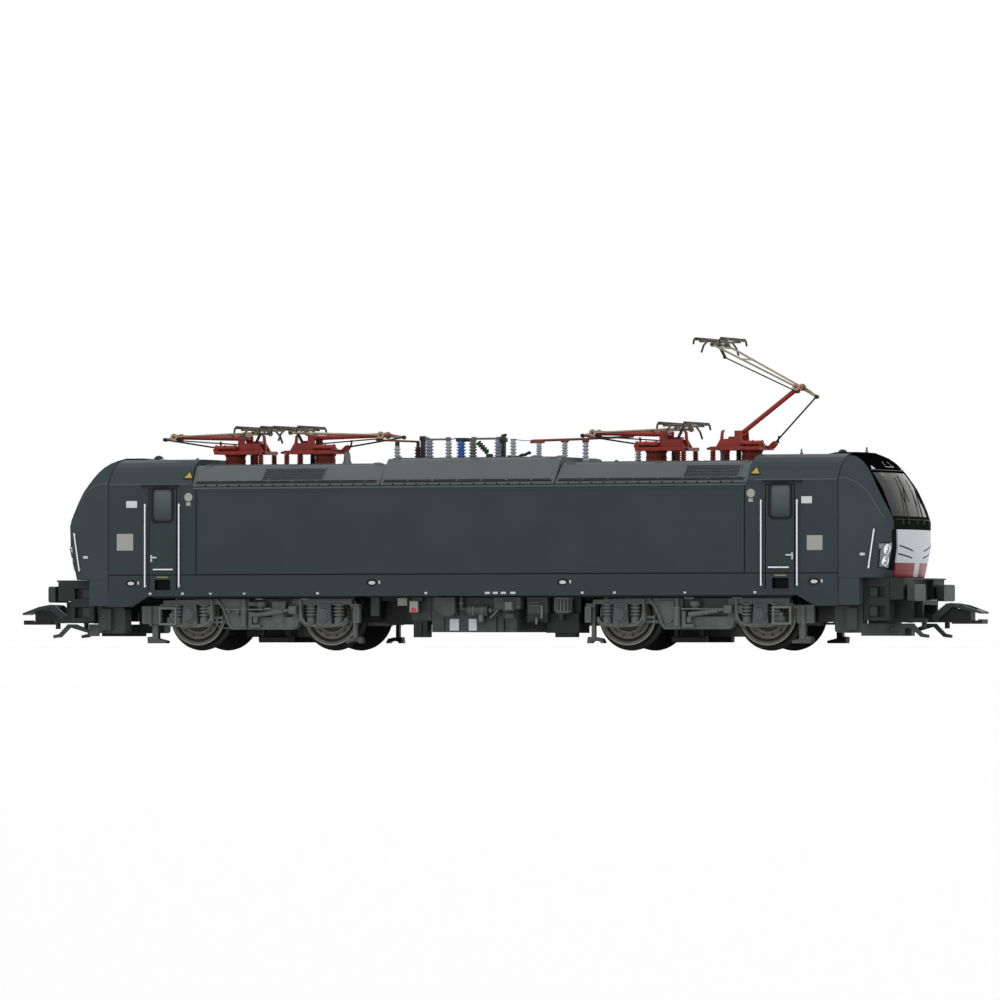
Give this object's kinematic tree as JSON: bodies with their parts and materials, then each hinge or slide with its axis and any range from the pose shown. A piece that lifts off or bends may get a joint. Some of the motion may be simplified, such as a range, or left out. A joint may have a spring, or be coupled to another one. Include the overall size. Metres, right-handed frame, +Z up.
{
  "type": "scale model electric locomotive",
  "caption": "H0 scale model of an electric locomotive: boxy body with a cab at each end, folding roof pantographs, swivelling bogies with free wheels, sprung-plate buffers and loop couplers.",
  "frame": {"origin": "middle of the model, at the lowest point of the wheel flanges", "axes": "X along the locomotive, +X towards the end whose pantograph is raised; Y across, -Y the near side; Z up; the rail top is at Z = 1.2 mm"},
  "size_m": [0.2424, 0.0362, 0.0724],
  "materials": {
    "body_slate": "satin",
    "smoked_glass": "smoked clear",
    "panel_white": "satin",
    "lamp_lens": "clear",
    "roof_grey": "satin",
    "underframe_grey": "matte",
    "motor_grey": "matte",
    "cab_grey": "matte",
    "buffer_black": "matte",
    "coupler_steel": "satin",
    "rail_white": "satin",
    "insulator": "satin",
    "switch_grey": "satin",
    "busbar_red": "satin",
    "fitting_grey": "satin",
    "wheel_steel": "satin",
    "panto_red": "satin",
    "panto_silver": "satin",
    "panto_dark": "satin"
  },
  "bodies": {
    "loco_body": {"body_shell": "body_slate", "buffer_beams": "underframe_grey", "buffers": "buffer_black", "cab_interiors": "cab_grey", "cab_nose_front": "body_slate", "cab_nose_rear": "body_slate", "chassis_frame": "underframe_grey", "door_windows": "smoked_glass", "front_flaps": "panel_white", "handrails": "rail_white", "headlights": "lamp_lens", "motor_block": "motor_grey", "pantograph_base_1": "panto_red", "pantograph_base_2": "panto_red", "pantograph_base_3": "panto_red", "pantograph_base_4": "panto_red", "rail_ploughs": "underframe_grey", "roof_busbars": "busbar_red", "roof_fittings": "fitting_grey", "roof_hatch_front": "roof_grey", "roof_hatch_middle": "roof_grey", "roof_hatch_rear": "roof_grey", "roof_insulators": "insulator", "roof_switchgear": "switch_grey", "underfloor_equipment": "underframe_grey", "windscreens": "smoked_glass", "wipers": "buffer_black"},
    "wheelset_1": {"wheelset_1": "wheel_steel"},
    "lower_arm_1": {"lower_arm_1": "panto_red"},
    "upper_arm_1": {"upper_arm_1": "panto_silver"},
    "thrust_rod_1": {"thrust_rod_1": "panto_dark"},
    "guide_rod_1": {"guide_rod_1": "panto_dark"},
    "pan_head_1": {"pan_head_1": "panto_dark"},
    "wheelset_2": {"wheelset_2": "wheel_steel"},
    "lower_arm_2": {"lower_arm_2": "panto_red"},
    "upper_arm_2": {"upper_arm_2": "panto_silver"},
    "thrust_rod_2": {"thrust_rod_2": "panto_dark"},
    "guide_rod_2": {"guide_rod_2": "panto_dark"},
    "pan_head_2": {"pan_head_2": "panto_dark"},
    "wheelset_3": {"wheelset_3": "wheel_steel"},
    "lower_arm_3": {"lower_arm_3": "panto_red"},
    "upper_arm_3": {"upper_arm_3": "panto_silver"},
    "thrust_rod_3": {"thrust_rod_3": "panto_dark"},
    "guide_rod_3": {"guide_rod_3": "panto_dark"},
    "pan_head_3": {"pan_head_3": "panto_dark"},
    "wheelset_4": {"wheelset_4": "wheel_steel"},
    "lower_arm_4": {"lower_arm_4": "panto_red"},
    "upper_arm_4": {"upper_arm_4": "panto_silver"},
    "thrust_rod_4": {"thrust_rod_4": "panto_dark"},
    "guide_rod_4": {"guide_rod_4": "panto_dark"},
    "pan_head_4": {"pan_head_4": "panto_dark"},
    "bogie_rear": {"bogie_frame_rear": "underframe_grey"},
    "coupler_rear": {"coupler_rear": "buffer_black"},
    "coupler_bail_rear": {"coupler_bail_rear": "coupler_steel"},
    "bogie_front": {"bogie_frame_front": "underframe_grey"},
    "coupler_front": {"coupler_front": "buffer_black"},
    "coupler_bail_front": {"coupler_bail_front": "coupler_steel"}
  },
  "joints": [
    {"name": "bogie_yaw_rear", "type": "hinge", "parent": "loco_body", "child": "bogie_rear", "pos_m": [-0.0546, 0, 0.014], "axis": [0, 0, 1], "range_deg": [-8, 8]},
    {"name": "bogie_yaw_front", "type": "hinge", "parent": "loco_body", "child": "bogie_front", "pos_m": [0.0546, 0, 0.014], "axis": [0, 0, 1], "range_deg": [-8, 8]},
    {"name": "wheel_spin_1", "type": "hinge", "parent": "bogie_rear", "child": "wheelset_1", "pos_m": [-0.07184, 0, 0.0082], "axis": [0, 1, 0], "continuous": true},
    {"name": "wheel_spin_2", "type": "hinge", "parent": "bogie_rear", "child": "wheelset_2", "pos_m": [-0.03736, 0, 0.0082], "axis": [0, 1, 0], "continuous": true},
    {"name": "wheel_spin_3", "type": "hinge", "parent": "bogie_front", "child": "wheelset_3", "pos_m": [0.03736, 0, 0.0082], "axis": [0, 1, 0], "continuous": true},
    {"name": "wheel_spin_4", "type": "hinge", "parent": "bogie_front", "child": "wheelset_4", "pos_m": [0.07184, 0, 0.0082], "axis": [0, 1, 0], "continuous": true},
    {"name": "coupler_swing_rear", "type": "hinge", "parent": "loco_body", "child": "coupler_rear", "pos_m": [-0.103, 0, 0.0086], "axis": [0, 0, 1], "range_deg": [-12, 12]},
    {"name": "coupler_bail_lift_rear", "type": "hinge", "parent": "coupler_rear", "child": "coupler_bail_rear", "pos_m": [-0.11, 0, 0.00755], "axis": [0, 1, 0], "range_deg": [0, 38]},
    {"name": "coupler_swing_front", "type": "hinge", "parent": "loco_body", "child": "coupler_front", "pos_m": [0.103, 0, 0.0086], "axis": [0, 0, 1], "range_deg": [-12, 12]},
    {"name": "coupler_bail_lift_front", "type": "hinge", "parent": "coupler_front", "child": "coupler_bail_front", "pos_m": [0.11, 0, 0.00755], "axis": [0, -1, 0], "range_deg": [0, 38]},
    {"name": "pan_lift_1", "type": "hinge", "parent": "loco_body", "child": "lower_arm_1", "pos_m": [-0.0639, 0, 0.0502], "axis": [0, 1, 0], "range_deg": [0, 35.16]},
    {"name": "pan_knee_1", "type": "hinge", "parent": "lower_arm_1", "child": "upper_arm_1", "pos_m": [-0.08167, 0, 0.0507], "axis": [0, 1, 0], "range_deg": [-60.84, 0.5]},
    {"name": "pan_head_tilt_1", "type": "hinge", "parent": "upper_arm_1", "child": "pan_head_1", "pos_m": [-0.05975, 0, 0.0514], "axis": [0, 1, 0], "range_deg": [-0.5, 25.68]},
    {"name": "pan_thrust_1", "type": "hinge", "parent": "loco_body", "child": "thrust_rod_1", "pos_m": [-0.0715, 0, 0.048], "axis": [0, 1, 0], "range_deg": [-0.5, 37.93]},
    {"name": "pan_guide_1", "type": "hinge", "parent": "lower_arm_1", "child": "guide_rod_1", "pos_m": [-0.08095, 0, 0.04986], "axis": [0, 1, 0], "range_deg": [-64.2, 0.5]},
    {"name": "pan_lift_2", "type": "hinge", "parent": "loco_body", "child": "lower_arm_2", "pos_m": [-0.046, 0, 0.0502], "axis": [0, -1, 0], "range_deg": [0, 35.16]},
    {"name": "pan_knee_2", "type": "hinge", "parent": "lower_arm_2", "child": "upper_arm_2", "pos_m": [-0.02823, 0, 0.0507], "axis": [0, -1, 0], "range_deg": [-60.84, 0.5]},
    {"name": "pan_head_tilt_2", "type": "hinge", "parent": "upper_arm_2", "child": "pan_head_2", "pos_m": [-0.05015, 0, 0.0514], "axis": [0, -1, 0], "range_deg": [-0.5, 25.68]},
    {"name": "pan_thrust_2", "type": "hinge", "parent": "loco_body", "child": "thrust_rod_2", "pos_m": [-0.0384, 0, 0.048], "axis": [0, -1, 0], "range_deg": [-0.5, 37.93]},
    {"name": "pan_guide_2", "type": "hinge", "parent": "lower_arm_2", "child": "guide_rod_2", "pos_m": [-0.02895, 0, 0.04986], "axis": [0, -1, 0], "range_deg": [-64.2, 0.5]},
    {"name": "pan_lift_3", "type": "hinge", "parent": "loco_body", "child": "lower_arm_3", "pos_m": [0.0432, 0, 0.0502], "axis": [0, 1, 0], "range_deg": [0, 35.16]},
    {"name": "pan_knee_3", "type": "hinge", "parent": "lower_arm_3", "child": "upper_arm_3", "pos_m": [0.02543, 0, 0.0507], "axis": [0, 1, 0], "range_deg": [-60.84, 0.5]},
    {"name": "pan_head_tilt_3", "type": "hinge", "parent": "upper_arm_3", "child": "pan_head_3", "pos_m": [0.04735, 0, 0.0514], "axis": [0, 1, 0], "range_deg": [-0.5, 25.68]},
    {"name": "pan_thrust_3", "type": "hinge", "parent": "loco_body", "child": "thrust_rod_3", "pos_m": [0.0356, 0, 0.048], "axis": [0, 1, 0], "range_deg": [-0.5, 37.93]},
    {"name": "pan_guide_3", "type": "hinge", "parent": "lower_arm_3", "child": "guide_rod_3", "pos_m": [0.02615, 0, 0.04986], "axis": [0, 1, 0], "range_deg": [-64.2, 0.5]},
    {"name": "pan_lift_4", "type": "hinge", "parent": "loco_body", "child": "lower_arm_4", "pos_m": [0.0617, 0, 0.0502], "axis": [0, -1, 0], "range_deg": [-35.16, 7]},
    {"name": "pan_knee_4", "type": "hinge", "parent": "lower_arm_4", "child": "upper_arm_4", "pos_m": [0.07594, 0, 0.06084], "axis": [0, -1, 0], "range_deg": [-12.51, 60.84]},
    {"name": "pan_head_tilt_4", "type": "hinge", "parent": "upper_arm_4", "child": "pan_head_4", "pos_m": [0.0564, 0, 0.0708], "axis": [0, -1, 0], "range_deg": [-25.68, 5.51]},
    {"name": "pan_thrust_4", "type": "hinge", "parent": "loco_body", "child": "thrust_rod_4", "pos_m": [0.0693, 0, 0.048], "axis": [0, -1, 0], "range_deg": [-37.93, 7.95]},
    {"name": "pan_guide_4", "type": "hinge", "parent": "lower_arm_4", "child": "guide_rod_4", "pos_m": [0.07584, 0, 0.05974], "axis": [0, -1, 0], "range_deg": [-13.18, 64.2]}
  ],
  "couplings": [
    {"joint": "pan_knee_1", "follows": "pan_lift_1", "ratio": -1.7163},
    {"joint": "pan_head_tilt_1", "follows": "pan_lift_1", "ratio": 0.71626},
    {"joint": "pan_thrust_1", "follows": "pan_lift_1", "ratio": 1.0647},
    {"joint": "pan_guide_1", "follows": "pan_lift_1", "ratio": -1.8119},
    {"joint": "pan_knee_2", "follows": "pan_lift_2", "ratio": -1.7163},
    {"joint": "pan_head_tilt_2", "follows": "pan_lift_2", "ratio": 0.71626},
    {"joint": "pan_thrust_2", "follows": "pan_lift_2", "ratio": 1.0647},
    {"joint": "pan_guide_2", "follows": "pan_lift_2", "ratio": -1.8119},
    {"joint": "pan_knee_3", "follows": "pan_lift_3", "ratio": -1.7163},
    {"joint": "pan_head_tilt_3", "follows": "pan_lift_3", "ratio": 0.71626},
    {"joint": "pan_thrust_3", "follows": "pan_lift_3", "ratio": 1.0647},
    {"joint": "pan_guide_3", "follows": "pan_lift_3", "ratio": -1.8119},
    {"joint": "pan_knee_4", "follows": "pan_lift_4", "ratio": -1.7163},
    {"joint": "pan_head_tilt_4", "follows": "pan_lift_4", "ratio": 0.71626},
    {"joint": "pan_thrust_4", "follows": "pan_lift_4", "ratio": 1.0647},
    {"joint": "pan_guide_4", "follows": "pan_lift_4", "ratio": -1.8119}
  ]
}
